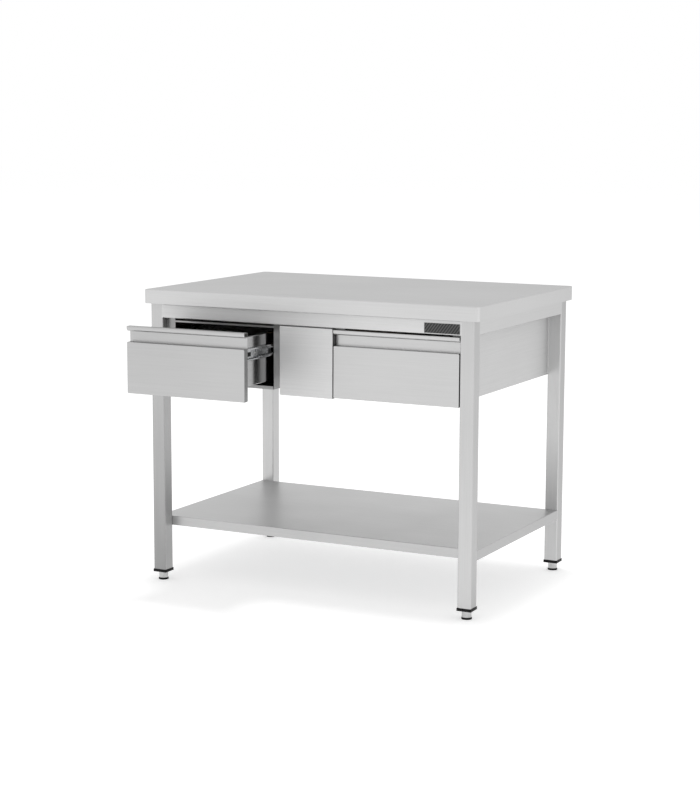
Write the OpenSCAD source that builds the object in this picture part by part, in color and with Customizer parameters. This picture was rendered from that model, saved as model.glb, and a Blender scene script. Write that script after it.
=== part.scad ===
// Stainless steel work table with two drawers and an undershelf.
// X runs along the front, Y from the front to the back, Z up from the floor.
// The left drawer is drawn pulled out, the right one closed.

/* [Worktop] */
// Width of the worktop
table_w = 1040; // [960:10:1300]
// Depth of the worktop
table_d = 700; // [690:10:800]
// Height of the worktop above the floor
table_h = 850; // [800:10:950]
// Height of the worktop's folded edge
top_edge = 40; // [35:1:50]
// Thickness of the worktop sheet
top_sheet = 1.5; // [1:0.1:2]
// Radius of the worktop's upright corners
top_corner_r = 12; // [6:1:16]
// Radius of the fold along the worktop's upper edges
top_fold_r = 2.5; // [1.5:0.5:4]
// Width of the lip turned in under the worktop's edge
top_lip = 25; // [22:1:35]
// Thickness of the core board under the worktop sheet
core_t = 18; // [12:1:18]
// Worktop overhang past the legs at each side
side_overhang = 17; // [5:1:22]
// Worktop overhang in front of the legs
front_overhang = 12; // [5:1:20]
// Worktop overhang behind the legs
rear_overhang = 8; // [5:1:20]

/* [Frame] */
// Width of the square tube of the legs and rails
tube_w = 40; // [35:1:45]
// Wall thickness of the tube
tube_wall = 1.5; // [1.2:0.1:2.5]
// Outer corner radius of the tube
tube_r = 3; // [2.5:0.1:4]
// Thickness of the folded panels
sheet = 1; // [0.8:0.1:1.2]
// Height of the side and rear panels below the rails
panel_drop = 180; // [160:5:200]

/* [Undershelf] */
// Height of the shelf's upper face above the floor
shelf_z = 186; // [150:1:300]
// Height of the shelf's folded edge
shelf_edge = 27; // [25:1:35]
// Width of the lip turned in under the shelf's edge
shelf_lip = 12; // [8:1:18]

/* [Drawers] */
// How far the left drawer stands open
drawer_open = 190; // [40:10:480]
// Full travel of a drawer
drawer_travel = 500; // [490:5:500]
// Width of the fixed panel between the drawers
middle_w = 166; // [150:2:200]
// Height of a drawer front
front_h = 188; // [180:1:195]
// Depth of a drawer front from its face to its back
front_t = 19; // [17:1:22]
// Gap between a drawer front and what is beside it
front_gap = 2; // [1.5:0.5:3]
// Gap between a drawer front and the rail above it
rail_gap = 5; // [3:0.5:6]
// Height of the finger grip, from its ledge to the top of the lip
grip_h = 44; // [40:1:48]
// Height of the rolled lip over the finger grip
lip_h = 14; // [12:1:16]
// Height of a drawer box
box_h = 136; // [120:2:138]
// Height of a drawer box's floor above the lower edge of its front
box_rise = 31; // [28:1:34]
// Width of the flange seen at each side of a drawer opening
opening_flange = 29; // [25:1:35]

/* [Runners] */
// Length of a drawer's runners
runner_l = 550; // [540:5:550]
// Height of a runner above the lower edge of the drawer front
runner_rise = 119; // [110:1:124]
// Diameter of the balls
ball_d = 3.2; // [3:0.1:3.3]
// Number of balls in one row of a cage
row_balls = 7; // [4:1:9]
// Length of a ball cage
cage_l = 200; // [180:5:220]

/* [Feet] */
// Height of the leg ends above the floor
leg_z = 32; // [30:1:45]
// Diameter of a foot's steel barrel
foot_d = 27; // [24:1:32]
// Diameter of a foot's threaded stud
stud_d = 10; // [8:1:12]
// Height of a foot's base
base_h = 5; // [4:1:6]

/* [Hidden] */
$fn = 48;

steel = "silver";
dull_steel = "darkgray";
black = "dimgray";
board = "burlywood";

// The origin is under the middle of the whole footprint, the open drawer included
frame_y0 = drawer_open - (table_d - front_overhang + drawer_open) / 2;
frame_y1 = frame_y0 + table_d - front_overhang - rear_overhang;
top_y0 = frame_y0 - front_overhang;
top_mid_y = top_y0 + table_d / 2;
frame_w = table_w - 2 * side_overhang;
frame_mid_y = (frame_y0 + frame_y1) / 2;
rail_top = table_h - top_edge;
rail_z = rail_top - tube_w;
inner_x = frame_w / 2 - tube_w;
inner_y0 = frame_y0 + tube_w;
inner_y1 = frame_y1 - tube_w;

// Inner radius of a fold in the panel sheet
fold_r = 0.8;
panel_z = rail_z - panel_drop;
panel_top = rail_z + 0.7 * tube_w;
// Width of the edges turned in along the panels
panel_fold = 18;
panel_top_fold = 12;
// A side panel laps past the rounded corner of the rear leg
panel_lap = tube_r + 1;

core_gap = 1;
core_z = table_h - top_sheet - core_t;
channel_z = rail_top + top_sheet + 0.5;
channel_x = frame_w / 4;
channel_w = 50;
channel_flange = 18;
channel_end_gap = 3;
shelf_channel_w = 60;
shelf_channel_h = 20;
shelf_corner_r = 2.5;
shelf_fold_r = 1.5;

front_z = rail_z - rail_gap - front_h;
ledge_z = front_z + front_h - grip_h;
middle_bottom = front_z - 3;
middle_gap = 3;
front_w = inner_x - middle_w / 2 - 2 * front_gap;
bay_x = (inner_x + middle_w / 2) / 2;

// The drawer opening is centred in its bay; one flange laps behind the middle panel
opening_w = inner_x - middle_w / 2 - 2 * opening_flange;
flange_lap = 13;
flange_gap = 2;
housing_y = frame_y0 + front_t + 1;
housing_back = inner_y1 - sheet;
housing_z = front_z + 7;
housing_fold = 20;
sill_h = 9;
tie_drop = 7.5;
tie_w = 22;
tie_lip = 5;

runner_gap = 13;
runner_sheet = 1.2;
cage_sheet = 0.6;
runner_z = front_z + runner_rise;
runner_y = housing_y + 2;
stop_l = 12;
stop_w = 8;
stop_h = 12;
// Flat black lever in the drawer's runner, a little behind its front end
lever_y = 58;
lever_l = 21;
lever_t = 0.9;
box_w = opening_w - 2 * runner_gap;
box_z = front_z + box_rise;
box_l = runner_l + 5;
box_rim = 9;

// A drawer front's hem, and the inset of the liner behind it
hem = 14;
liner_inset = 6;
liner_z = front_z + hem + 2;
lip_top_r = 1.5;
lip_roll_r = 8;
lip_end = 11;

cap_t = 5;
foot_z = leg_z - cap_t;
stud_l = 50;
base_edge_r = 1;

// Turns of a bent sheet
function dir(a) = [cos(a), sin(a)];
function left_of(a) = [-sin(a), cos(a)];
function heading(p, q) = atan2(q[1] - p[1], q[0] - p[0]);
function turn(a, b) = b - a > 180 ? b - a - 360 : b - a < -180 ? b - a + 360 : b - a;
function xy(p) = [p[0], p[1]];
function reversed(v) = [for (i = [len(v) - 1 : -1 : 0]) v[i]];

// One face of a bent sheet of thickness t, at a distance off to the left of its path.
// A path point is [x, y, inner radius of the bend there].
function sheet_face(path, t, off) = [
    for (i = [0 : len(path) - 1])
        let(
            first = i == 0,
            last = i == len(path) - 1,
            a = heading(path[first ? 0 : i - 1], path[first ? 1 : i]),
            b = last ? a : heading(path[i], path[i + 1]),
            bend = turn(a, b),
            side = sign(bend),
            r = first || last ? 0 : path[i][2] + t / 2,
            centre = xy(path[i]) - dir(a) * r * tan(abs(bend) / 2) + side * r * left_of(a),
            steps = first || last ? 0 : max(2, ceil(abs(bend) / 15))
        )
        for (k = [0 : steps])
            centre + (off - side * r) * left_of(a + (steps == 0 ? 0 : bend * k / steps))
];

module sheet_section(path, t) {
    polygon(concat(sheet_face(path, t, t / 2), reversed(sheet_face(path, t, -t / 2))));
}

// Extrudes a (Y, Z) section along X, or an (X, Z) section along Y, from its middle
module along_x(l) {
    rotate([90, 0, 90]) linear_extrude(l, center = true) children();
}

module along_y(l) {
    rotate([90, 0, 0]) linear_extrude(l, center = true) children();
}

module block(low, high) {
    translate(low) cube(high - low);
}

module rounded_square(w, r) {
    square([w, w - 2 * r], center = true);
    square([w - 2 * r, w], center = true);
    for (sx = [-1, 1], sy = [-1, 1]) translate([sx, sy] * (w / 2 - r)) circle(r);
}

module rounded_slab(w, d, h, r) {
    translate([-w / 2, -d / 2 + r, 0]) cube([w, d - 2 * r, h]);
    translate([-w / 2 + r, -d / 2, 0]) cube([w - 2 * r, d, h]);
    for (sx = [-1, 1], sy = [-1, 1])
        translate([sx * (w / 2 - r), sy * (d / 2 - r), 0]) cylinder(h = h, r = r);
}

// Section of a slab with its two upper edges rounded
module crowned_section(w, h, e) {
    translate([-w / 2, 0]) square([w, h - e]);
    translate([-w / 2 + e, 0]) square([w - 2 * e, h]);
    for (s = [-1, 1]) translate([s * (w / 2 - e), h - e]) circle(e);
}

// Slab with upright corners of radius r and upper edges of radius e
module crowned_slab(w, d, h, r, e) {
    along_x(w - 2 * r) crowned_section(d, h, e);
    along_y(d - 2 * r) crowned_section(w, h, e);
    for (quarter = [0 : 3])
        let(sx = quarter == 0 || quarter == 3 ? 1 : -1, sy = quarter < 2 ? 1 : -1)
            translate([sx * (w / 2 - r), sy * (d / 2 - r), 0])
                rotate(90 * quarter) rotate_extrude(angle = 90) {
                    square([r, h - e]);
                    square([r - e, h]);
                    translate([r - e, h - e]) intersection() {
                        circle(e);
                        square(e);
                    }
                }
}

// Sheet pan, open below, with a lip turned in all round its lower edge
module sheet_pan(w, d, h, t, lip, r, e) {
    difference() {
        crowned_slab(w, d, h, r, e);
        translate([0, 0, t]) rounded_slab(w - 2 * t, d - 2 * t, h - 2 * t, r - t);
        translate([0, 0, -1]) rounded_slab(w - 2 * lip, d - 2 * lip, h - t, 2);
    }
}

module tube(l) {
    linear_extrude(l) difference() {
        rounded_square(tube_w, tube_r);
        rounded_square(tube_w - 2 * tube_wall, tube_r - tube_wall);
    }
}

// Hat channel section, its crown hanging down by h, its flanges on the line y = 0
module hat_section(w, h, flange, t) {
    sheet_section([
        [-w / 2 - flange, -t / 2],
        [-w / 2, -t / 2, 1],
        [-w / 2, -h + t / 2, 1],
        [w / 2, -h + t / 2, 1],
        [w / 2, -t / 2, 1],
        [w / 2 + flange, -t / 2]
    ], t);
}

// Worktop
module worktop_pan() {
    color(steel) translate([0, top_mid_y, rail_top])
        sheet_pan(table_w, table_d, top_edge, top_sheet, top_lip, top_corner_r, top_fold_r);
}

module worktop_core_board() {
    inset = top_sheet + core_gap;
    color(board) translate([0, top_mid_y, core_z])
        rounded_slab(table_w - 2 * inset, table_d - 2 * inset, core_t, top_corner_r - inset);
}

module worktop_channel(s) {
    color(dull_steel) translate([s * channel_x, top_mid_y, core_z])
        along_y(table_d - 2 * (top_sheet + channel_end_gap))
            hat_section(channel_w, core_z - channel_z, channel_flange, sheet);
}

module worktop_channel_left() { worktop_channel(-1); }
module worktop_channel_right() { worktop_channel(1); }

// Frame: sx is -1 at the left and 1 at the right, sy is -1 at the front and 1 at the back
function corner(sx, sy) = [
    sx * (frame_w - tube_w) / 2,
    sy < 0 ? frame_y0 + tube_w / 2 : frame_y1 - tube_w / 2
];

module leg(sx, sy) {
    color(steel) translate([each corner(sx, sy), leg_z]) tube(rail_top - leg_z);
}

module leg_front_left() { leg(-1, -1); }
module leg_front_right() { leg(1, -1); }
module leg_rear_left() { leg(-1, 1); }
module leg_rear_right() { leg(1, 1); }

module cross_rail(sy) {
    color(steel) translate([-inner_x, corner(1, sy)[1], rail_z + tube_w / 2])
        rotate([0, 90, 0]) tube(2 * inner_x);
}

module side_rail(sx) {
    color(steel) translate([corner(sx, 1)[0], inner_y1, rail_z + tube_w / 2])
        rotate([90, 0, 0]) tube(inner_y1 - inner_y0);
}

module rail_front() { cross_rail(-1); }
module rail_rear() { cross_rail(1); }
module rail_left() { side_rail(-1); }
module rail_right() { side_rail(1); }

// Side panel against the inner faces of the legs and rail, its edges turned inwards.
// Its upper front corner is cut away behind the front rail.
module side_panel(s) {
    front = housing_y + sheet;
    back = housing_back - sheet;
    face_x = inner_x - sheet / 2;
    low = panel_z + sheet / 2;
    notch_low = [inner_x - 2 * panel_fold, front - 1, rail_z - sheet];
    notch_high = [inner_x + 1, inner_y0 + sheet, panel_top + 1];
    lap_low = [inner_x - sheet, back - 1, panel_z + sheet + fold_r];
    lap_high = [inner_x, inner_y1 + panel_lap, rail_z];
    color(steel) mirror([s < 0 ? 1 : 0, 0, 0]) difference() {
        union() {
            translate([0, (front + back) / 2, 0]) along_y(back - front) sheet_section([
                [inner_x - panel_fold, low],
                [face_x, low, fold_r],
                [face_x, panel_top, fold_r],
                [inner_x - panel_top_fold, panel_top]
            ], sheet);
            block(lap_low, lap_high);
        }
        block(notch_low, notch_high);
    }
}

module side_panel_left() { side_panel(-1); }
module side_panel_right() { side_panel(1); }

// Rear panel on the front faces of the rear rail, its lower edge turned back below the rail
module rear_panel() {
    face_y = inner_y1 - sheet / 2;
    low = panel_z + sheet / 2;
    color(steel) along_x(2 * (inner_x - sheet)) sheet_section([
        [inner_y1 + panel_fold, low],
        [face_y, low, fold_r],
        [face_y, panel_top]
    ], sheet);
}

// Upright box face between two heights: its sheet is folded back at both sides
module folded_face(w, z0, z1, depth) {
    translate([0, 0, z0]) linear_extrude(z1 - z0) sheet_section([
        [-w / 2 + sheet / 2, depth],
        [-w / 2 + sheet / 2, sheet / 2, fold_r],
        [w / 2 - sheet / 2, sheet / 2, fold_r],
        [w / 2 - sheet / 2, depth]
    ], sheet);
}

module middle_panel() {
    middle_top = rail_z - middle_gap;
    low = middle_bottom + sheet / 2;
    high = middle_top - sheet / 2;
    depth = housing_y - frame_y0;
    corner_relief = 2 * (sheet + fold_r);
    color(steel) translate([0, frame_y0, 0]) {
        folded_face(middle_w, middle_bottom + sheet + fold_r, middle_top - sheet - fold_r, depth);
        along_x(middle_w - corner_relief) sheet_section([
            [depth, low],
            [sheet / 2, low, fold_r],
            [sheet / 2, high, fold_r],
            [depth, high]
        ], sheet);
    }
}

// Drawer housing of one bay: s is -1 for the left bay and 1 for the right
module at_bay(s) {
    translate([s * bay_x, 0, 0]) mirror([s < 0 ? 1 : 0, 0, 0]) children();
}

module housing(s) {
    half = opening_w / 2;
    wall = half + sheet / 2;
    top = rail_z - sheet / 2;
    low = housing_z + sheet / 2;
    length = housing_back - housing_y;
    face_back = housing_y + sheet;
    face_top = rail_z - flange_gap;
    leg_edge = half + opening_flange - flange_gap;
    middle_edge = half + opening_flange + flange_lap;
    color(steel) at_bay(s) {
        translate([0, housing_y + length / 2, 0]) along_y(length) sheet_section([
            [-half - housing_fold, top],
            [-wall, top, fold_r],
            [-wall, low, fold_r],
            [wall, low, fold_r],
            [wall, top, fold_r],
            [half + housing_fold, top]
        ], sheet);
        block([half, housing_y, panel_z], [leg_edge, face_back, face_top]);
        block([-middle_edge, housing_y, panel_z], [-half, face_back, face_top]);
        block([2 - half, housing_y, housing_z], [half - 2, face_back, housing_z + sill_h]);
    }
}

module housing_tie(s) {
    top = rail_z - tie_drop;
    color(steel) at_bay(s) translate([0, housing_y, 0]) along_x(opening_w) sheet_section([
        [sheet / 2, top - tie_lip],
        [sheet / 2, top, fold_r],
        [tie_w, top]
    ], sheet);
}

module left_housing() { housing(-1); }
module left_housing_tie() { housing_tie(-1); }
module right_housing() { housing(1); }
module right_housing_tie() { housing_tie(1); }

// Undershelf between the front and rear legs
module undershelf() {
    color(steel) translate([0, frame_mid_y, shelf_z - shelf_edge])
        sheet_pan(
            frame_w, inner_y1 - inner_y0, shelf_edge, sheet, shelf_lip, shelf_corner_r, shelf_fold_r
        );
}

module undershelf_channel() {
    color(dull_steel) translate([0, frame_mid_y, shelf_z - sheet])
        along_x(frame_w - 2 * (shelf_lip + channel_end_gap))
            hat_section(shelf_channel_w, shelf_channel_h, channel_flange, sheet);
}

// Levelling feet
module leg_plug(sx, sy) {
    sleeve = tube_w - 2 * tube_wall - 0.6;
    sleeve_h = 18;
    wall = 2;
    rib_l = sleeve - wall;
    rib_h = sleeve_h - 4;
    color(black) translate([each corner(sx, sy), foot_z]) difference() {
        union() {
            linear_extrude(cap_t) rounded_square(tube_w + wall, tube_r + wall / 2);
            linear_extrude(sleeve_h) difference() {
                rounded_square(sleeve, 1.2);
                square(sleeve - 2 * wall, center = true);
            }
            cylinder(h = sleeve_h, d = stud_d + 4 * wall);
            for (a = [0, 90]) rotate(a) translate([-rib_l, -wall, 0] / 2) cube([rib_l, wall, rib_h]);
        }
        translate([0, 0, -1]) cylinder(h = sleeve_h + 2, d = stud_d + 0.6);
    }
}

module foot(sx, sy) {
    chamfer = 1;
    stud_z = foot_z - base_h - chamfer / 2;
    barrel_h = foot_z - base_h;
    color(steel) translate([each corner(sx, sy), base_h]) {
        cylinder(h = chamfer, d1 = foot_d - 2 * chamfer, d2 = foot_d);
        translate([0, 0, chamfer]) cylinder(h = barrel_h - 2 * chamfer, d = foot_d);
        translate([0, 0, barrel_h - chamfer]) cylinder(h = chamfer, d1 = foot_d, d2 = foot_d - 2 * chamfer);
        translate([0, 0, stud_z]) cylinder(h = stud_l, d = stud_d);
        translate([0, 0, stud_z + stud_l]) cylinder(h = chamfer, d1 = stud_d, d2 = stud_d - 2 * chamfer);
    }
}

module foot_base(sx, sy) {
    color(black) translate([each corner(sx, sy), 0]) rotate_extrude() {
        square([foot_d / 2 + base_edge_r, base_h - base_edge_r]);
        square([foot_d / 2, base_h]);
        translate([foot_d / 2, base_h - base_edge_r]) intersection() {
            circle(base_edge_r);
            square(base_edge_r);
        }
    }
}

module leg_plug_front_left() { leg_plug(-1, -1); }
module leg_plug_front_right() { leg_plug(1, -1); }
module leg_plug_rear_left() { leg_plug(-1, 1); }
module leg_plug_rear_right() { leg_plug(1, 1); }
module foot_front_left() { foot(-1, -1); }
module foot_front_right() { foot(1, -1); }
module foot_rear_left() { foot(-1, 1); }
module foot_rear_right() { foot(1, 1); }
module foot_base_front_left() { foot_base(-1, -1); }
module foot_base_front_right() { foot_base(1, -1); }
module foot_base_rear_left() { foot_base(-1, 1); }
module foot_base_rear_right() { foot_base(1, 1); }

// How far a drawer stands open in the drawn pose
function opened(s) = s < 0 ? drawer_open : 0;

// Drawer front: face, ledge, grip wall and rolled lip are one folded sheet
module drawer_front(s) {
    half_t = sheet / 2;
    wall_y = front_t - half_t;
    ledge_end = wall_y - sheet - fold_r;
    top = front_z + front_h - half_t;
    low = front_z + half_t;
    ledge = ledge_z - half_t;
    lip_low = top - lip_h + sheet;
    side_relief = sheet + fold_r;
    color(steel) translate([s * bay_x, frame_y0 - opened(s), 0]) {
        folded_face(front_w, front_z + side_relief, ledge_z - side_relief, front_t - sheet);
        along_x(front_w - 2 * side_relief) sheet_section([
            [wall_y, low + hem],
            [wall_y, low, fold_r],
            [half_t, low, fold_r],
            [half_t, ledge, fold_r],
            [ledge_end, ledge]
        ], sheet);
        along_x(front_w) sheet_section([
            [ledge_end - sheet, ledge],
            [wall_y, ledge, fold_r],
            [wall_y, top, fold_r],
            [half_t, top, lip_top_r],
            [half_t, lip_low, lip_roll_r],
            [lip_end, lip_low]
        ], sheet);
    }
}

module front_liner(s) {
    half = front_w / 2 - liner_inset;
    color(dull_steel) translate([s * bay_x, frame_y0 - opened(s) + front_t, 0])
        block([-half, -sheet, liner_z], [half, 0, ledge_z - 2 * sheet]);
}

// Drawer box: a folded tray with the tops of its sides turned in, and two end walls
module drawer_box(s) {
    side_x = (box_w - sheet) / 2;
    low = box_z + sheet / 2;
    rim_z = box_z + box_h - sheet / 2;
    color(steel) translate([s * bay_x, frame_y0 + front_t - opened(s), 0]) {
        translate([0, box_l / 2, 0]) along_y(box_l) sheet_section([
            [box_rim - side_x, rim_z],
            [-side_x, rim_z, fold_r],
            [-side_x, low, fold_r],
            [side_x, low, fold_r],
            [side_x, rim_z, fold_r],
            [side_x - box_rim, rim_z]
        ], sheet);
        for (y = [0, box_l - sheet]) block([-side_x, y, low], [side_x, y + sheet, rim_z - sheet]);
    }
}

// Puts a runner section on one side of a drawer box. Its x runs from the box side outwards,
// its y upwards; e is 1 at the leg side and -1 at the middle panel's side.
module runner_at(s, e, moved, front, l) {
    at_bay(s) mirror([e < 0 ? 1 : 0, 0, 0])
        translate([box_w / 2, runner_y + front - moved + l / 2, runner_z]) along_y(l) children();
}

// Mirrors the upper half of a section's path, listed from its top end down
function both_halves(upper) = concat(upper, [for (p = reversed(upper)) [p[0], -p[1], p[2]]]);

race_r = ball_d / 2 + 0.3;
outer_race = [5.6, 14.4];
inner_race = [8.3, 9.6];

module drawer_runner_section() {
    wall = race_r + runner_sheet / 2;
    sheet_section(both_halves([
        [outer_race[0] + wall, outer_race[1] - 1.8, 0],
        [outer_race[0] + wall, outer_race[1] + wall, race_r],
        [runner_sheet / 2, outer_race[1] + wall, fold_r]
    ]), runner_sheet);
}

module middle_runner_section() {
    t = 1;
    flange = outer_race[1] - race_r - t / 2;
    sheet_section(both_halves([
        [inner_race[0] + race_r + t / 2, inner_race[1] - 1, 0],
        [inner_race[0] + race_r + t / 2, flange, race_r],
        [outer_race[0] - 0.6, flange, 1.4],
        [2.9, outer_race[1] - 0.8, 0.4]
    ]), t);
}

module fixed_runner_section() {
    wall = race_r + runner_sheet / 2;
    sheet_section(both_halves([
        [inner_race[0] - wall, inner_race[1] + 0.6, 0],
        [inner_race[0] - wall, inner_race[1] - wall, race_r],
        [runner_gap - runner_sheet / 2, inner_race[1] - wall, fold_r]
    ]), runner_sheet);
}

module drawer_runner(s, e) {
    color(steel) runner_at(s, e, opened(s), 0, runner_l) drawer_runner_section();
}

module middle_runner(s, e) {
    color(steel) runner_at(s, e, opened(s) / 2, stop_l, runner_l - stop_l) middle_runner_section();
}

module fixed_runner(s, e) {
    color(steel) runner_at(s, e, 0, stop_l, runner_l - stop_l) fixed_runner_section();
}

// One cage: a bent strip with two rows of holes, a ball loose in each hole
module ball_cage(s, e, moved, race, web_x, wing_x, wing_y) {
    front = stop_l + drawer_travel / 4 + 4;
    end_gap = 10;
    pitch = (cage_l - 2 * end_gap) / (row_balls - 1);
    module balls(d) {
        at_bay(s) mirror([e < 0 ? 1 : 0, 0, 0])
            translate([box_w / 2 + race[0], runner_y + front - moved + end_gap, runner_z])
                for (k = [0 : row_balls - 1], v = [-1, 1])
                    translate([0, k * pitch, v * race[1]]) sphere(d = d);
    }
    difference() {
        color(dull_steel) runner_at(s, e, moved, front, cage_l) sheet_section(both_halves([
            [wing_x, race[1] + wing_y, 0],
            [web_x, race[1] + wing_y, 0.5]
        ]), cage_sheet);
        balls(ball_d + 0.2);
    }
    color(steel) balls(ball_d);
}

module outer_ball_cages(s) {
    for (e = [-1, 1]) ball_cage(s, e, opened(s) * 0.75, outer_race, 1.8, 7.2, 0.45);
}

module inner_ball_cages(s) {
    for (e = [-1, 1]) ball_cage(s, e, opened(s) * 0.25, inner_race, 4.3, 9, 1.2);
}

module runner_stops(s) {
    color(black) at_bay(s) for (e = [-1, 1]) mirror([e < 0 ? 1 : 0, 0, 0])
        translate([box_w / 2 + runner_sheet, runner_y - opened(s), runner_z - stop_h / 2]) {
            cube([stop_w, stop_l - 3, stop_h]);
            translate([0, lever_y, 0]) cube([lever_t, lever_l, stop_h]);
        }
}

module left_drawer_front() { drawer_front(-1); }
module left_front_liner() { front_liner(-1); }
module left_drawer_box() { drawer_box(-1); }
module left_drawer_runner_leg_side() { drawer_runner(-1, 1); }
module left_drawer_runner_middle_side() { drawer_runner(-1, -1); }
module left_middle_runner_leg_side() { middle_runner(-1, 1); }
module left_middle_runner_middle_side() { middle_runner(-1, -1); }
module left_fixed_runner_leg_side() { fixed_runner(-1, 1); }
module left_fixed_runner_middle_side() { fixed_runner(-1, -1); }
module left_outer_ball_cages() { outer_ball_cages(-1); }
module left_inner_ball_cages() { inner_ball_cages(-1); }
module left_runner_stops() { runner_stops(-1); }
module right_drawer_front() { drawer_front(1); }
module right_front_liner() { front_liner(1); }
module right_drawer_box() { drawer_box(1); }
module right_drawer_runner_leg_side() { drawer_runner(1, 1); }
module right_drawer_runner_middle_side() { drawer_runner(1, -1); }
module right_middle_runner_leg_side() { middle_runner(1, 1); }
module right_middle_runner_middle_side() { middle_runner(1, -1); }
module right_fixed_runner_leg_side() { fixed_runner(1, 1); }
module right_fixed_runner_middle_side() { fixed_runner(1, -1); }
module right_outer_ball_cages() { outer_ball_cages(1); }
module right_inner_ball_cages() { inner_ball_cages(1); }
module right_runner_stops() { runner_stops(1); }

worktop_pan();
worktop_core_board();
worktop_channel_left();
worktop_channel_right();
leg_front_left();
leg_front_right();
leg_rear_left();
leg_rear_right();
rail_front();
rail_rear();
rail_left();
rail_right();
side_panel_left();
side_panel_right();
rear_panel();
middle_panel();
left_housing();
left_housing_tie();
right_housing();
right_housing_tie();
undershelf();
undershelf_channel();
leg_plug_front_left();
leg_plug_front_right();
leg_plug_rear_left();
leg_plug_rear_right();
foot_front_left();
foot_front_right();
foot_rear_left();
foot_rear_right();
foot_base_front_left();
foot_base_front_right();
foot_base_rear_left();
foot_base_rear_right();
left_drawer_front();
left_front_liner();
left_drawer_box();
left_drawer_runner_leg_side();
left_drawer_runner_middle_side();
left_middle_runner_leg_side();
left_middle_runner_middle_side();
left_fixed_runner_leg_side();
left_fixed_runner_middle_side();
left_outer_ball_cages();
left_inner_ball_cages();
left_runner_stops();
right_drawer_front();
right_front_liner();
right_drawer_box();
right_drawer_runner_leg_side();
right_drawer_runner_middle_side();
right_middle_runner_leg_side();
right_middle_runner_middle_side();
right_fixed_runner_leg_side();
right_fixed_runner_middle_side();
right_outer_ball_cages();
right_inner_ball_cages();
right_runner_stops();
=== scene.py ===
import bpy
import math
from mathutils import Matrix, Vector


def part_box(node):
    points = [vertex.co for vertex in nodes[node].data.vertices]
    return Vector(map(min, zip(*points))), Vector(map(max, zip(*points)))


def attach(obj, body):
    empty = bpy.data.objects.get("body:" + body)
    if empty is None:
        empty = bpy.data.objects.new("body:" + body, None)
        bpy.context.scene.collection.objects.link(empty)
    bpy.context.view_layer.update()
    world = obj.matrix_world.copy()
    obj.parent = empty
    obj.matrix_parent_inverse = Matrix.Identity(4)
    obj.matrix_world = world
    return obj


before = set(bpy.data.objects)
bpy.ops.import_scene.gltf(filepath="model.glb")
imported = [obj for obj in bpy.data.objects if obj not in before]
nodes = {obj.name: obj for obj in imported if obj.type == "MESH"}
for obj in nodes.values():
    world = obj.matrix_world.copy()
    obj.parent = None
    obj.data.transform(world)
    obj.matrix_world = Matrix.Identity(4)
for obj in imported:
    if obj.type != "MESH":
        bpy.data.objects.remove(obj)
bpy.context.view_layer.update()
print("frame loaded, nodes:", len(nodes))

# Camera that shows the table as the photo does
camera = {
    "place": (2.5000, -4.8811, 1.3602),
    "turn": 27.026,    # degrees to the left of +Y
    "tilt": -8.582,    # degrees, negative looks down
    "roll": 0.203,
    "lens": 86.71,
    "sensor": 36.0,
    "farthest": 60,    # metres that it sees
}


def addCamera(c):
    data = bpy.data.cameras.new("camera")
    data.lens = c["lens"]
    data.sensor_width = c["sensor"]
    data.clip_end = c["farthest"]
    cam = bpy.data.objects.new("camera", data)
    bpy.context.scene.collection.objects.link(cam)
    spin = Matrix.Rotation(math.radians(c["turn"]), 4, "Z")
    spin = spin @ Matrix.Rotation(math.radians(90 + c["tilt"]), 4, "X")
    spin = spin @ Matrix.Rotation(math.radians(c["roll"]), 4, "Z")
    cam.matrix_world = Matrix.Translation(c["place"]) @ spin
    bpy.context.scene.camera = cam


addCamera(camera)
print("camera set")

# Soft white studio with a pale floor
white = (1, 1, 1, 1)
studio = {
    "skyFill": 0.62,      # light on matt surfaces from all round
    "whiteSky": 1.0,      # what the camera and the metal see
    "floorColor": (0.80, 0.80, 0.80),
    "floorWhite": 0.50,   # lifts the floor to white for the camera and the metal
    "floorSize": 60,
    # Seen from above, the worktop would mirror this one as a white patch
    "topLight": {"place": (-0.2, 0.5, 12.0), "aim": (0.0, 0.05, 0.0), "size": 1.6, "watts": 360,
                 "inMetal": False},
    "sideLight": {"place": (5.6, -0.6, 2.4), "aim": (0.4, 0.0, 0.6), "size": 5.0, "watts": 10,
                  "inMetal": True},
}


# Adds a node and sets the inputs that are named
def addNode(tree, kind, **values):
    node = tree.nodes.new(kind)
    for socket, value in values.items():
        node.inputs[socket].default_value = value
    return node


# Joins two shaders: the camera, the metal and clear things see the second, all else gets the first
def joinByRay(tree, first, second):
    path = addNode(tree, "ShaderNodeLightPath")
    share = path.outputs["Is Camera Ray"]
    for name in ("Is Glossy Ray", "Is Transmission Ray"):
        either = addNode(tree, "ShaderNodeMath")
        either.operation = "MAXIMUM"
        tree.links.new(share, either.inputs[0])
        tree.links.new(path.outputs[name], either.inputs[1])
        share = either.outputs[0]
    mix = addNode(tree, "ShaderNodeMixShader")
    tree.links.new(share, mix.inputs["Fac"])
    tree.links.new(first.outputs[0], mix.inputs[1])
    tree.links.new(second.outputs[0], mix.inputs[2])
    return mix


def addSky(s):
    world = bpy.data.worlds.new("studio")
    world.use_nodes = True
    tree = world.node_tree
    tree.nodes.clear()
    fill = addNode(tree, "ShaderNodeBackground", Color=white, Strength=s["skyFill"])
    seen = addNode(tree, "ShaderNodeBackground", Color=white, Strength=s["whiteSky"])
    out = addNode(tree, "ShaderNodeOutputWorld")
    tree.links.new(joinByRay(tree, fill, seen).outputs[0], out.inputs["Surface"])
    bpy.context.scene.world = world


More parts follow.
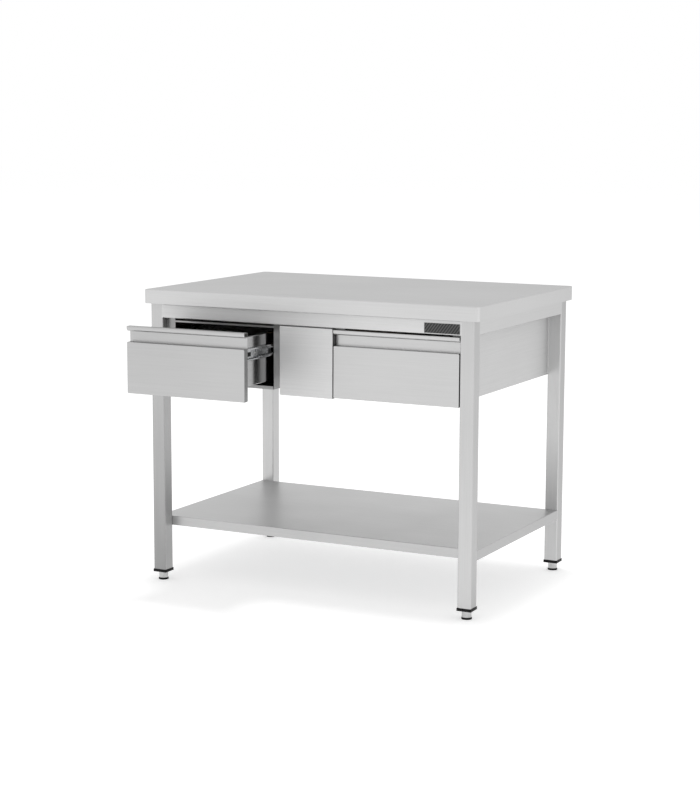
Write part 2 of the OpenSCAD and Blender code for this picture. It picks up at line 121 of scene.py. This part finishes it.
def addFloor(s):
    bpy.ops.object.select_all(action="DESELECT")
    bpy.ops.mesh.primitive_plane_add(size=s["floorSize"], location=(0, 0, 0))
    floor = bpy.context.active_object
    floor.name = "floor"
    mat = bpy.data.materials.new("floor")
    mat.use_nodes = True
    tree = mat.node_tree
    tree.nodes.clear()
    matt = addNode(tree, "ShaderNodeBsdfDiffuse", Color=(*s["floorColor"], 1))
    glow = addNode(tree, "ShaderNodeEmission", Strength=s["floorWhite"])
    none = addNode(tree, "ShaderNodeEmission", Strength=0)
    both = addNode(tree, "ShaderNodeAddShader")
    out = addNode(tree, "ShaderNodeOutputMaterial")
    tree.links.new(matt.outputs[0], both.inputs[0])
    tree.links.new(joinByRay(tree, none, glow).outputs[0], both.inputs[1])
    tree.links.new(both.outputs[0], out.inputs["Surface"])
    floor.data.materials.append(mat)


def addSoftLight(name, s):
    data = bpy.data.lights.new(name, "AREA")
    data.energy = s["watts"]
    data.size = s["size"]
    lamp = bpy.data.objects.new(name, data)
    bpy.context.scene.collection.objects.link(lamp)
    lamp.visible_glossy = s["inMetal"]
    way = Vector(s["aim"]) - Vector(s["place"])
    turn = way.to_track_quat("-Z", "Y").to_matrix().to_4x4()
    lamp.matrix_world = Matrix.Translation(s["place"]) @ turn


addSky(studio)
addFloor(studio)
addSoftLight("topLight", studio["topLight"])
addSoftLight("sideLight", studio["sideLight"])
bpy.context.scene.view_settings.view_transform = "Standard"
print("studio lit")


# A node material while it is being built
class Shader:
    # Share of a normal along X from which a face starts to count as sideways, and fully does
    sideRange = (0.4, 0.9)

    def __init__(self, name):
        self.mat = bpy.data.materials.new(name)
        self.mat.use_nodes = True
        self.tree = self.mat.node_tree
        self.body = self.tree.nodes["Principled BSDF"]
        self.place = self.add("ShaderNodeTexCoord").outputs["Object"]

    def add(self, kind, **values):
        node = self.tree.nodes.new(kind)
        for key, value in values.items():
            setattr(node, key, value)
        return node

    def link(self, a, b):
        self.tree.links.new(a, b)

    def mapped(self, scale, turn=(0, 0, 0)):
        node = self.add("ShaderNodeMapping")
        node.inputs["Scale"].default_value = scale
        node.inputs["Rotation"].default_value = [math.radians(a) for a in turn]
        self.link(self.place, node.inputs["Vector"])
        return node.outputs["Vector"]

    def noise(self, scale, vector=None, detail=3.0, rough=0.5, distortion=0.0):
        node = self.add("ShaderNodeTexNoise")
        node.inputs["Scale"].default_value = scale
        node.inputs["Detail"].default_value = detail
        node.inputs["Roughness"].default_value = rough
        node.inputs["Distortion"].default_value = distortion
        self.link(vector or self.place, node.inputs["Vector"])
        return node.outputs["Fac"]

    def spread(self, value, low, high, fromLow=0.3, fromHigh=0.7):
        node = self.add("ShaderNodeMapRange")
        node.inputs["From Min"].default_value = fromLow
        node.inputs["From Max"].default_value = fromHigh
        node.inputs["To Min"].default_value = low
        node.inputs["To Max"].default_value = high
        self.link(value, node.inputs["Value"])
        return node.outputs["Result"]

    def mathNode(self, kind, a, b):
        node = self.add("ShaderNodeMath", operation=kind)
        for socket, value in zip(node.inputs, (a, b)):
            if isinstance(value, (int, float)):
                socket.default_value = value
            else:
                self.link(value, socket)
        return node.outputs[0]

    def colors(self, value, places, tones):
        node = self.add("ShaderNodeValToRGB")
        ramp = node.color_ramp
        for end in (0, -1):
            ramp.elements[end].position = places[end]
            ramp.elements[end].color = (*tones[end], 1)
        for place, tone in zip(places[1:-1], tones[1:-1]):
            ramp.elements.new(place).color = (*tone, 1)
        self.link(value, node.inputs["Fac"])
        return node.outputs["Color"]

    # Inputs 6 and 7 and output 2 are the colors of a mix node
    def times(self, color, share):
        mix = self.add("ShaderNodeMix", data_type="RGBA", blend_type="MULTIPLY")
        mix.inputs[0].default_value = 1.0
        self.link(color, mix.inputs[6])
        self.link(share, mix.inputs[7])
        return mix.outputs[2]

    # 1 on faces that look along X, 0 on all others: the mask of the painted side shade
    def sideways(self):
        normal = self.add("ShaderNodeSeparateXYZ")
        self.link(self.add("ShaderNodeTexCoord").outputs["Normal"], normal.inputs[0])
        alongX = self.mathNode("ABSOLUTE", normal.outputs["X"], 0.0)
        return self.spread(alongX, 0.0, 1.0, *self.sideRange)

    # Painted shade: less and less of the tone towards the floor, except on faces that look along X
    def paintShadeDownwards(self, color, top, bottom, left):
        split = self.add("ShaderNodeSeparateXYZ")
        self.link(self.place, split.inputs[0])
        share = self.spread(split.outputs["Z"], left, 1.0, bottom, top)
        return self.times(color, self.mathNode("MAXIMUM", share, self.sideways()))

    # Painted shade: less of the tone on faces that look along X
    def paintShadeOnSides(self, color, left):
        return self.times(color, self.spread(self.sideways(), 1.0, left, 0.0, 1.0))

    def bump(self, height, strength, distance, before=None):
        node = self.add("ShaderNodeBump")
        node.inputs["Strength"].default_value = strength
        node.inputs["Distance"].default_value = distance
        self.link(height, node.inputs["Height"])
        if before is not None:
            self.link(before, node.inputs["Normal"])
        return node.outputs["Normal"]

    def finish(self, color, roughness, normal):
        self.link(color, self.body.inputs["Base Color"])
        self.link(roughness, self.body.inputs["Roughness"])
        self.link(normal, self.body.inputs["Normal"])
        return self.mat


def gray(v):
    return (v, v, v)


# Satin stainless: fine lines along one axis, faint clouds from rolling and a few stray scratches
def satinSteel(name, s):
    sh = Shader(name)
    lineStretch = [s["stretch"] if axis == s["grain"] else 1 for axis in "XYZ"]
    lines = sh.noise(s["lineScale"], sh.mapped(lineStretch), detail=4.0, rough=0.65)
    clouds = sh.noise(s["cloudScale"], detail=2.0, rough=0.5)
    scratchStretch = [s["scratchStretch"] if axis == s["grain"] else 1 for axis in "XYZ"]
    scratchMap = sh.mapped(scratchStretch, turn=s["scratchTurn"])
    scratches = sh.noise(s["scratchScale"], scratchMap, detail=1.0)
    scratch = sh.spread(scratches, 0.0, 1.0, *s["scratchRange"])
    lineTone = sh.mathNode("MULTIPLY", lines, s["lineShare"])
    cloudTone = sh.mathNode("MULTIPLY", clouds, 1 - s["lineShare"])
    tone = sh.mathNode("ADD", lineTone, cloudTone)
    low, high = s["tone"] - s["toneSpread"], s["tone"] + s["toneSpread"]
    color = sh.colors(tone, s["toneRange"], (gray(low), gray(high)))
    # Painted shade, darker towards the floor
    if s["fade"]:
        color = sh.paintShadeDownwards(color, *s["fade"])
    # Painted shade on the faces that look along X
    if s["sides"] != 1:
        color = sh.paintShadeOnSides(color, s["sides"])
    dull, shiny = s["roughness"] + s["roughSpread"], s["roughness"] - s["roughSpread"]
    rough = sh.spread(tone, dull, shiny, *s["roughRange"])
    rough = sh.mathNode("ADD", rough, sh.mathNode("MULTIPLY", scratch, s["scratchRough"]))
    normal = sh.bump(lines, s["lineDepth"], s["lineHeight"])
    normal = sh.bump(scratch, s["scratchDepth"], -s["scratchHeight"], normal)
    sh.body.inputs["Metallic"].default_value = 1.0
    sh.body.inputs["Specular Tint"].default_value = (*gray(s["edgeTint"]), 1)
    return sh.finish(color, rough, normal)


# Zinc plated steel: duller than stainless, with soft blotches in the plating
def zincSteel(name, s):
    sh = Shader(name)
    blotch = sh.noise(s["blotchScale"], detail=4.0, rough=0.6, distortion=0.4)
    fine = sh.noise(s["fineScale"], sh.mapped((1, s["stretch"], 1)), detail=3.0)
    color = sh.colors(blotch, s["toneRange"], (s["dark"], s["mid"], s["light"]))
    rough = sh.spread(blotch, s["roughness"] + s["duller"], s["roughness"] - s["shinier"])
    normal = sh.bump(fine, s["bump"], s["height"])
    sh.body.inputs["Metallic"].default_value = 1.0
    return sh.finish(color, rough, normal)


# Turned steel: fine rings round an upright axis
def turnedSteel(name, s):
    sh = Shader(name)
    rings = sh.noise(s["ringScale"], sh.mapped((s["stretch"], s["stretch"], 1)), detail=3.0)
    stain = sh.noise(s["stainScale"], detail=3.0)
    low, high = s["tone"] - s["darker"], s["tone"] + s["lighter"]
    color = sh.colors(stain, s["toneRange"], (gray(low), gray(high)))
    rough = sh.spread(rings, s["roughness"] - s["shinier"], s["roughness"] + s["duller"])
    normal = sh.bump(rings, s["bump"], s["height"])
    sh.body.inputs["Metallic"].default_value = 1.0
    return sh.finish(color, rough, normal)


def mouldedPlastic(name, s):
    sh = Shader(name)
    grain = sh.noise(s["grainScale"], detail=3.0, rough=0.6)
    dust = sh.noise(s["dustScale"], detail=4.0)
    color = sh.colors(dust, s["toneRange"], (gray(s["tone"]), gray(s["tone"] + s["dust"])))
    rough = sh.spread(grain, s["roughness"] - s["roughSpread"], s["roughness"] + s["roughSpread"])
    normal = sh.bump(grain, s["bump"], s["height"])
    sh.body.inputs["Specular IOR Level"].default_value = s["shine"]
    return sh.finish(color, rough, normal)


# Chipboard, seen on its cut edges and lower face
def chipboard(name, s):
    sh = Shader(name)
    chips = sh.add("ShaderNodeTexVoronoi")
    chips.inputs["Scale"].default_value = s["chipScale"]
    sh.link(sh.mapped((1, 1, s["chipFlat"])), chips.inputs["Vector"])
    fibreMap = sh.mapped((1, s["fibreStretch"], 1), turn=(0, 0, s["fibreTurn"]))
    fibre = sh.noise(s["fibreScale"], fibreMap, detail=3.0)
    chipTone = sh.mathNode("MULTIPLY", chips.outputs["Color"], s["chipShare"])
    fibreTone = sh.mathNode("MULTIPLY", fibre, 1 - s["chipShare"])
    tone = sh.mathNode("ADD", chipTone, fibreTone)
    color = sh.colors(tone, s["toneRange"], (s["dark"], s["mid"], s["light"]))
    rough = sh.spread(fibre, *s["roughness"])
    normal = sh.bump(tone, s["bump"], s["height"])
    return sh.finish(color, rough, normal)


# Dark badge with slanting lines and nothing written on it
def hatchedPlate(name, s):
    sh = Shader(name)
    wave = sh.add("ShaderNodeTexWave", wave_type="BANDS", bands_direction="X")
    radiansPerMetre = 20   # of the bands at a scale of 1
    wave.inputs["Scale"].default_value = 2 * math.pi / (radiansPerMetre * s["linePitch"])
    wave.inputs["Distortion"].default_value = 0.0
    sh.link(sh.mapped((1, 1, 1), turn=(0, -s["lean"], 0)), wave.inputs["Vector"])
    dust = sh.spread(sh.noise(s["dustScale"], detail=4.0), -s["dust"], s["dust"])
    lines = sh.mathNode("ADD", wave.outputs["Fac"], dust)
    color = sh.colors(lines, s["toneRange"], (gray(s["dark"]), gray(s["light"])))
    rough = sh.spread(wave.outputs["Fac"], *s["roughness"], 0.0, 1.0)
    normal = sh.bump(wave.outputs["Fac"], s["bump"], s["height"])
    return sh.finish(color, rough, normal)


steelLook = {
    "grain": "X",             # axis along which the sheet is brushed
    "stretch": 0.012, "lineScale": 420.0, "lineDepth": 0.07, "lineHeight": 0.0004,
    "lineShare": 0.55,        # of the lines in the pattern, the rest is clouds
    "cloudScale": 3.0,
    "tone": 0.57, "toneSpread": 0.016, "toneRange": (0.38, 0.62),
    "roughness": 0.33, "roughSpread": 0.035, "roughRange": (0.35, 0.65),
    "scratchScale": 160.0, "scratchStretch": 0.09, "scratchTurn": (0, 0, 6),
    "scratchRange": (0.74, 0.80), "scratchRough": 0.05,
    "scratchDepth": 0.10, "scratchHeight": 0.0002,
    "fade": None,             # painted shade darker towards the floor: top height, bottom height and how much tone is left at the bottom
    "sides": 1.0,             # painted shade on sides: how much of the tone is left on faces that look along X
    "edgeTint": 0.62,         # how much of the shine stays when the sheet is seen at a low angle
}
zincLook = {
    "stretch": 0.05, "blotchScale": 60.0, "fineScale": 700.0, "toneRange": (0.35, 0.55, 0.7),
    "roughness": 0.30, "duller": 0.08, "shinier": 0.06, "bump": 0.05, "height": 0.0003,
}
turnedLook = {
    "stretch": 0.01, "ringScale": 1600.0, "stainScale": 60.0,
    "tone": 0.53, "darker": 0.04, "lighter": 0.03, "toneRange": (0.3, 0.7),
    "roughness": 0.24, "duller": 0.07, "shinier": 0.05, "bump": 0.15, "height": 0.0003,
}
plasticLook = {
    "grainScale": 1800.0, "dustScale": 24.0,
    "tone": 0.005, "dust": 0.004, "toneRange": (0.35, 0.75),
    "roughness": 0.50, "roughSpread": 0.08, "shine": 0.18, "bump": 0.12, "height": 0.0003,
}
boardLook = {
    "chipScale": 260.0, "chipFlat": 3.5,
    "chipShare": 0.7,         # of the chips in the pattern, the rest is fibre
    "fibreScale": 500.0, "fibreStretch": 0.1, "fibreTurn": 20,
    "dark": (0.24, 0.15, 0.08), "mid": (0.45, 0.32, 0.19), "light": (0.62, 0.48, 0.31),
    "toneRange": (0.15, 0.5, 0.85), "roughness": (0.75, 0.9), "bump": 0.3, "height": 0.0006,
}
plateLook = {
    "linePitch": 0.0068, "lean": 37, "dark": 0.010, "light": 0.10, "toneRange": (0.25, 0.75),
    "dustScale": 90.0, "dust": 0.12, "roughness": (0.36, 0.5), "bump": 0.3, "height": 0.0001,
}


def steelFor(name, **changes):
    return satinSteel(name, {**steelLook, **changes})


def tubeFor(name, **changes):
    return steelFor(name, lineScale=480.0, **changes)


def zincFor(name, **changes):
    return zincSteel(name, {**zincLook, **changes})


frontScratch = (0, 4, 0)
# A side setting under 1 below is painted shade on the faces that look along X
finishes = {
    "worktop": steelFor("worktopSteel", tone=0.61, roughness=0.31, edgeTint=0.70),
    "openFront": steelFor("openFrontSteel", tone=0.505, roughness=0.32, sides=0.54,
                          scratchTurn=frontScratch),
    "drawerFronts": steelFor("drawerFrontSteel", tone=0.565, roughness=0.32, sides=0.38,
                             scratchTurn=frontScratch),
    "middlePanel": steelFor("middlePanelSteel", tone=0.70, roughness=0.56, sides=0.22),
    # The front left leg's copy of the tube steel has painted shade, darker towards the floor on its
    # front and back faces, and a little painted shade on its sideways faces
    "frontLeftLeg": tubeFor("frontLeftLegSteel", grain="Z", tone=0.55, roughness=0.44,
                            fade=(0.78, 0.02, 0.58), sides=0.90),
    "legs": tubeFor("legSteel", grain="Z", tone=0.55, roughness=0.36, sides=0.95),
    # The rear right leg's copy of the tube steel is lighter as painted light, with painted shade on
    # its sideways faces
    "rearRightLeg": tubeFor("rearRightLegSteel", grain="Z", tone=0.63, roughness=0.37, sides=0.82),
    # The cross rails' steel is a lighter tone than the rest as painted light
    "crossRails": tubeFor("crossRailSteel", tone=0.69, roughness=0.60),
    "sideRails": tubeFor("sideRailSteel", grain="Y", tone=0.62, roughness=0.31),
    "sidePanels": steelFor("sidePanelSteel", grain="Y", tone=0.61, roughness=0.58, edgeTint=0.8),
    "rearPanel": steelFor("rearPanelSteel", tone=0.57, roughness=0.34),
    "shelf": steelFor("shelfSteel", tone=0.50, roughness=0.36, edgeTint=0.92, sides=0.86),
    "drawerBoxes": steelFor("drawerBoxSteel", grain="Y", tone=0.60, roughness=0.15, lineDepth=0.04),
    # The housings' steel is darker than the rest as painted shade inside the drawer bays
    "housings": steelFor("housingSteel", grain="Y", tone=0.31, roughness=0.30),
    "ties": steelFor("tieSteel", tone=0.36, roughness=0.34),
    "channels": zincFor("channelZinc", blotchScale=22.0, fineScale=300.0, bump=0.12, roughness=0.42,
                        dark=(0.33, 0.34, 0.35), mid=(0.45, 0.46, 0.47), light=(0.54, 0.55, 0.56)),
    "runners": zincFor("runnerZinc", bump=0.08, roughness=0.24,
                       dark=(0.50, 0.51, 0.52), mid=(0.60, 0.61, 0.62), light=(0.68, 0.69, 0.70)),
    "cages": zincFor("cageZinc", blotchScale=90.0, fineScale=900.0,
                     dark=(0.46, 0.46, 0.46), mid=(0.54, 0.54, 0.54), light=(0.62, 0.62, 0.62)),
    "screws": zincFor("screwZinc", blotchScale=300.0, fineScale=900.0, roughness=0.26,
                      dark=(0.44, 0.44, 0.43), mid=(0.54, 0.54, 0.53), light=(0.62, 0.62, 0.61)),
    "welds": steelFor("weldSteel", tone=0.62, roughness=0.40, lineScale=700.0),
    "panelWelds": steelFor("panelWeldSteel", grain="Z", tone=0.46, roughness=0.46, lineScale=700.0),
    "feet": turnedSteel("footSteel", turnedLook),
    "thread": turnedSteel("threadSteel", {
        **turnedLook, "ringScale": 2200.0, "tone": 0.58, "roughness": 0.28, "bump": 0.08}),
    "plastic": mouldedPlastic("blackPlastic", plasticLook),
    "board": chipboard("coreBoard", boardLook),
    "plate": hatchedPlate("badgeFace", plateLook),
}
# The first entry whose words are in a node's name gives its finish
finishOf = (
    ("worktop_core", "board"), ("worktop_channel", "channels"), ("worktop_pan", "worktop"),
    ("leg_plug", "plastic"), ("leg_front_left", "frontLeftLeg"), ("leg_rear_right", "rearRightLeg"),
    ("leg_", "legs"),
    ("rail_front", "crossRails"), ("rail_rear", "crossRails"), ("rail_", "sideRails"),
    ("side_panel", "sidePanels"), ("rear_panel", "rearPanel"), ("middle_panel", "middlePanel"),
    ("housing_tie", "ties"), ("housing", "housings"),
    ("undershelf_channel", "channels"), ("undershelf", "shelf"),
    ("foot_base", "plastic"), ("foot_", "feet"), ("front_liner", "channels"),
    ("left_drawer_front", "openFront"), ("drawer_front", "drawerFronts"),
    ("drawer_box", "drawerBoxes"), ("runner_stops", "plastic"), ("cages", "cages"),
    ("runner", "runners"),
)


def paint(obj, finish):
    if not obj.data.materials:
        obj.data.materials.append(finish)
    for index in range(len(obj.data.materials)):
        obj.data.materials[index] = finish


for nodeName, obj in nodes.items():
    kind = next(finish for part, finish in finishOf if part in nodeName)
    paint(obj, finishes[kind])
print("finishes on", len(nodes), "nodes")


def pickOnly(obj):
    bpy.ops.object.select_all(action="DESELECT")
    obj.select_set(True)
    bpy.context.view_layer.objects.active = obj


def startPiece(name, make, **values):
    bpy.ops.object.select_all(action="DESELECT")
    make(**values)
    obj = bpy.context.active_object
    obj.name = name
    return obj


def placeInMesh(obj):
    pickOnly(obj)
    bpy.ops.object.transform_apply(location=True, rotation=True, scale=True)


def startBlock(name, middle, size):
    obj = startPiece(name, bpy.ops.mesh.primitive_cube_add, size=1, location=middle)
    obj.scale = size
    placeInMesh(obj)
    return obj


facingShare = 0.9    # how much of a normal points one way when its face counts as facing that way
samePlace = 0.00001  # distance under which two points count as one


def smoothUnder(degrees):
    bpy.ops.object.shade_smooth_by_angle(angle=math.radians(degrees))


# Goes into edit mode with only the chosen faces or vertices picked
def editChosen(items, chosen):
    bpy.ops.object.mode_set(mode="EDIT")
    bpy.ops.mesh.select_all(action="DESELECT")
    bpy.ops.object.mode_set(mode="OBJECT")
    for item in items:
        item.select = chosen(item)
    bpy.ops.object.mode_set(mode="EDIT")


def softEdges(obj, width, segments=2, angle=40):
    bevel = obj.modifiers.new("edges", "BEVEL")
    bevel.width = width
    bevel.segments = segments
    bevel.limit_method = "ANGLE"
    bevel.angle_limit = math.radians(angle)
    pickOnly(obj)
    bpy.ops.object.modifier_apply(modifier=bevel.name)
    smoothUnder(angle)


def cutAway(obj, cutter):
    cut = obj.modifiers.new("cut", "BOOLEAN")
    cut.operation = "DIFFERENCE"
    cut.object = cutter
    pickOnly(obj)
    bpy.ops.object.modifier_apply(modifier=cut.name)
    bpy.data.objects.remove(cutter)


badge = {
    "left": 0.3585, "right": 0.4615, "low": 0.7730, "high": 0.8000,
    "thick": 0.0012, "rim": 0.0009, "sink": 0.0002, "edge": 0.0003,
}


def makeBadge(b):
    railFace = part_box("rail_front")[0][1]
    middle = ((b["left"] + b["right"]) / 2, railFace - b["thick"] / 2, (b["low"] + b["high"]) / 2)
    size = (b["right"] - b["left"], b["thick"], b["high"] - b["low"])
    obj = startBlock("front_badge", middle, size)
    editChosen(obj.data.polygons, lambda face: face.normal.y < -facingShare)
    bpy.ops.mesh.inset(thickness=b["rim"], depth=-b["sink"])
    bpy.ops.object.mode_set(mode="OBJECT")
    softEdges(obj, b["edge"])
    paint(obj, finishes["plate"])
    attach(obj, "table")


makeBadge(badge)
print("badge made")


# Ground welds that fill the groove between a rail's end and the rounded corner of a leg
weld = {
    "width": 0.0052, "deep": 0.0034,
    "proud": 0.00004,    # height over the rail's face
    "trim": 0.0004,      # left free at the top and bottom
    "ease": 0.0003, "cuts": 9,
}


# along is the axis of the rail, 0 for X and 1 for Y
def makeWeld(name, railNode, along, end, outward):
    low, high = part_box(railNode)
    across = 1 - along
    joint = high[along] if end > 0 else low[along]
    face = high[across] if outward > 0 else low[across]
    middle, size = [0, 0, 0], [0, 0, 0]
    middle[along] = joint + end * weld["width"] / 4   # a quarter of it laps over the rail
    size[along] = weld["width"]
    middle[across] = face + outward * (weld["proud"] - weld["deep"] / 2)
    size[across] = weld["deep"]
    middle[2] = (low[2] + high[2]) / 2
    size[2] = high[2] - low[2] - 2 * weld["trim"]
    obj = startBlock(name, middle, size)
    softEdges(obj, weld["ease"])
    bpy.ops.object.mode_set(mode="EDIT")
    bpy.ops.mesh.select_all(action="SELECT")
    for step in range(1, weld["cuts"]):
        height = middle[2] + size[2] * (step / weld["cuts"] - 0.5)
        bpy.ops.mesh.bisect(plane_co=(0, 0, height), plane_no=(0, 0, 1))
        bpy.ops.mesh.select_all(action="SELECT")
    bpy.ops.object.mode_set(mode="OBJECT")
    paint(obj, finishes["welds"])
    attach(obj, "table")


for side, along, outward in (("front", 0, -1), ("rear", 0, 1), ("left", 1, -1), ("right", 1, 1)):
    for end, endName in ((-1, "a"), (1, "b")):
        makeWeld("weld_" + side + "_" + endName, "rail_" + side, along, end, outward)
print("welds made")


# Fine welds in the corners where the panels meet the legs
panelWeld = {
    "alongLeg": 0.0037, "alongPanel": 0.0027,
    "sink": 0.0001,      # reach into the leg and the panel
    "hollow": 0.68,      # how far the outer edge is drawn in to the corner
    "ease": 0.0006, "easeSteps": 3,
    "lift": 0.002,       # height of the lower end over the panel's lower edge
    "smooth": 40,
}


# legWay and panelWay point away from the corner, along the leg's face and along the panel
def makePanelWeld(name, corner, legWay, panelWay):
    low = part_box("side_panel_right")[0][2] + panelWeld["lift"]
    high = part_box("rail_front")[0][2] - weld["trim"]
    legWay, panelWay = Vector((*legWay, 0)), Vector((*panelWay, 0))
    start = Vector((*corner, (low + high) / 2)) - panelWeld["sink"] * (legWay + panelWay)
    reach = panelWeld["alongLeg"] * legWay + panelWeld["alongPanel"] * panelWay
    obj = startBlock(name, start + reach / 2, (abs(reach.x), abs(reach.y), high - low))
    outer = (start + reach).to_2d()
    editChosen(obj.data.vertices, lambda vertex: (vertex.co.to_2d() - outer).length < samePlace)
    bpy.ops.transform.translate(value=-panelWeld["hollow"] * reach)
    bpy.ops.mesh.bevel(offset=panelWeld["ease"], segments=panelWeld["easeSteps"], affect="EDGES")
    bpy.ops.object.mode_set(mode="OBJECT")
    smoothUnder(panelWeld["smooth"])
    paint(obj, finishes["panelWelds"])
    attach(obj, "table")


for side, out in (("left", -1), ("right", 1)):
    for end, back in (("front", 1), ("rear", -1)):
        low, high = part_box(f"leg_{end}_{side}")
        corner = (low[0] if out > 0 else high[0], high[1] if back > 0 else low[1])
        makePanelWeld(f"panel_weld_{side}_{end}", corner, (out, 0), (0, back))
    makePanelWeld(f"panel_weld_rear_{side}", corner, (0, 1), (-out, 0))
print("panel welds made")


# Moulded rim of the plug in each leg's lower end, with a round hole for the foot
legCap = {
    "width": 0.0426, "low": 0.0240, "high": 0.0323,
    "hole": 0.0137, "round": 48,     # radius of the hole and its number of sides
    "ease": 0.0007, "easeSteps": 3, "smooth": 40,
}


def makeLegCap(c):
    middle = (0, 0, (c["low"] + c["high"]) / 2)
    cap = startBlock("cap_model", middle, (c["width"], c["width"], c["high"] - c["low"]))
    softEdges(cap, c["ease"], c["easeSteps"])
    hole = startPiece(
        "cap_hole", bpy.ops.mesh.primitive_cylinder_add,
        vertices=c["round"], radius=c["hole"], depth=2 * c["high"], location=middle)
    cutAway(cap, hole)
    smoothUnder(c["smooth"])
    return cap


# Screw with a low domed head and a cross recess
screwHead = {
    "width": 0.0070, "round": 28, "rise": 0.0008, "sunk": 0.0003, "smooth": 30,
    "dome": 0.0010, "rimDrop": 0.55,              # the rim lies lower by this share of the rise
    "domeSteps": ((0.55, 0.38), (0.45, 0.17)),    # shares of the dome inwards, of the rise upwards
    "slotWide": 0.0010, "slotLong": 0.0040, "slotDeep": 0.0006,
}


def makeScrew(name, s):
    tall = s["rise"] + s["sunk"]
    head = startPiece(
        name, bpy.ops.mesh.primitive_cylinder_add,
        vertices=s["round"], radius=s["width"] / 2, depth=tall,
        location=(0, 0, s["rise"] - tall / 2))
    placeInMesh(head)
    editChosen(head.data.polygons, lambda face: face.normal.z > facingShare)
    bpy.ops.transform.translate(value=(0, 0, -s["rise"] * s["rimDrop"]))
    for inward, up in s["domeSteps"]:
        bpy.ops.mesh.inset(thickness=s["dome"] * inward)
        bpy.ops.transform.translate(value=(0, 0, s["rise"] * up))
    bpy.ops.object.mode_set(mode="OBJECT")
    for slot in ((s["slotLong"], s["slotWide"]), (s["slotWide"], s["slotLong"])):
        cutAway(head, startBlock("slot", (0, 0, s["rise"]), (*slot, 2 * s["slotDeep"])))
    smoothUnder(s["smooth"])
    return head


def putCopy(model, name, place, facing, body, finish):
    copy = model.copy()
    copy.data = model.data.copy()
    copy.name = name
    bpy.context.scene.collection.objects.link(copy)
    turn = Vector(facing).to_track_quat("Z", "Y").to_matrix().to_4x4()
    copy.matrix_world = Matrix.Translation(place) @ turn
    placeInMesh(copy)
    paint(copy, finish)
    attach(copy, body)


# Two screws in each runner's web, four through the inner side of each drawer front
runnerScrews = {"behindFront": (0.034, 0.104), "sheet": 0.0012}
boxScrews = {"sideways": (-0.105, 0.105), "heights": (0.036, 0.100), "sheet": 0.0010}

screwModel = makeScrew("screw_model", screwHead)
for drawer in ("left", "right"):
    body = drawer + "_drawer"
    boxLow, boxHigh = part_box(drawer + "_drawer_box")
    middleX = (boxLow[0] + boxHigh[0]) / 2
    for side in ("leg_side", "middle_side"):
        low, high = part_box(drawer + "_drawer_runner_" + side)
        out = 1 if (low[0] + high[0]) / 2 > middleX else -1
        webX = low[0] + runnerScrews["sheet"] if out > 0 else high[0] - runnerScrews["sheet"]
        for number, behind in enumerate(runnerScrews["behindFront"], 1):
            place = (webX, low[1] + behind, (low[2] + high[2]) / 2)
            putCopy(screwModel, f"{drawer}_runner_screw_{side}_{number}", place, (out, 0, 0),
                    body, finishes["screws"])
    grid = [(across, up) for across in boxScrews["sideways"] for up in boxScrews["heights"]]
    for number, (across, up) in enumerate(grid, 1):
        place = (middleX + across, boxLow[1] + boxScrews["sheet"], boxLow[2] + up)
        putCopy(screwModel, f"{drawer}_front_screw_{number}", place, (0, 1, 0),
                body, finishes["screws"])
bpy.data.objects.remove(screwModel)
print("screws made")

tableCorners = ("front_left", "front_right", "rear_left", "rear_right")
capModel = makeLegCap(legCap)
for corner in tableCorners:
    low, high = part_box("leg_" + corner)
    place = ((low[0] + high[0]) / 2, (low[1] + high[1]) / 2, 0)
    putCopy(capModel, "leg_cap_" + corner, place, (0, 0, 1),
            "table", finishes["plastic"])
bpy.data.objects.remove(capModel)
print("leg caps made")


# Thread on the stud of each levelling foot
thread = {
    "root": 0.00488, "crest": 0.00522, "pitch": 0.0015,
    "thick": 0.42,         # half the ridge's foot, as a share of the pitch
    "gapBelow": 0.0008,    # left free over the plug's lower end
    "gapAbove": 0.0022,    # left free under the stud's top
    "steps": 28, "smooth": 35,
}


def makeThread(corner):
    low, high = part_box("foot_" + corner)
    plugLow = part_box("leg_plug_" + corner)[0]
    centre = ((low[0] + high[0]) / 2, (low[1] + high[1]) / 2)
    start = plugLow[2] + thread["gapBelow"]
    turns = int((high[2] - thread["gapAbove"] - start) / thread["pitch"])
    width = thread["pitch"] * thread["thick"]
    obj = startPiece(
        "foot_thread_" + corner, bpy.ops.mesh.primitive_circle_add, vertices=3, radius=1)
    corners = ((thread["root"], -width), (thread["crest"], 0.0), (thread["root"], width))
    for vertex, (r, z) in zip(obj.data.vertices, corners):
        vertex.co = (r, 0, z)
    screw = obj.modifiers.new("helix", "SCREW")
    screw.axis = "Z"
    screw.angle = 2 * math.pi
    screw.screw_offset = thread["pitch"]
    screw.iterations = turns
    screw.steps = thread["steps"]
    screw.render_steps = thread["steps"]
    screw.use_merge_vertices = False
    bpy.ops.object.modifier_apply(modifier=screw.name)
    obj.location = (*centre, start)
    placeInMesh(obj)
    bpy.ops.object.mode_set(mode="EDIT")
    bpy.ops.mesh.select_all(action="DESELECT")
    bpy.ops.mesh.select_non_manifold()
    bpy.ops.mesh.edge_face_add()
    bpy.ops.mesh.select_all(action="SELECT")
    bpy.ops.mesh.normals_make_consistent(inside=False)
    bpy.ops.object.mode_set(mode="OBJECT")
    smoothUnder(thread["smooth"])
    paint(obj, finishes["thread"])
    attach(obj, "foot_" + corner)


for corner in tableCorners:
    makeThread(corner)
print("threads made")
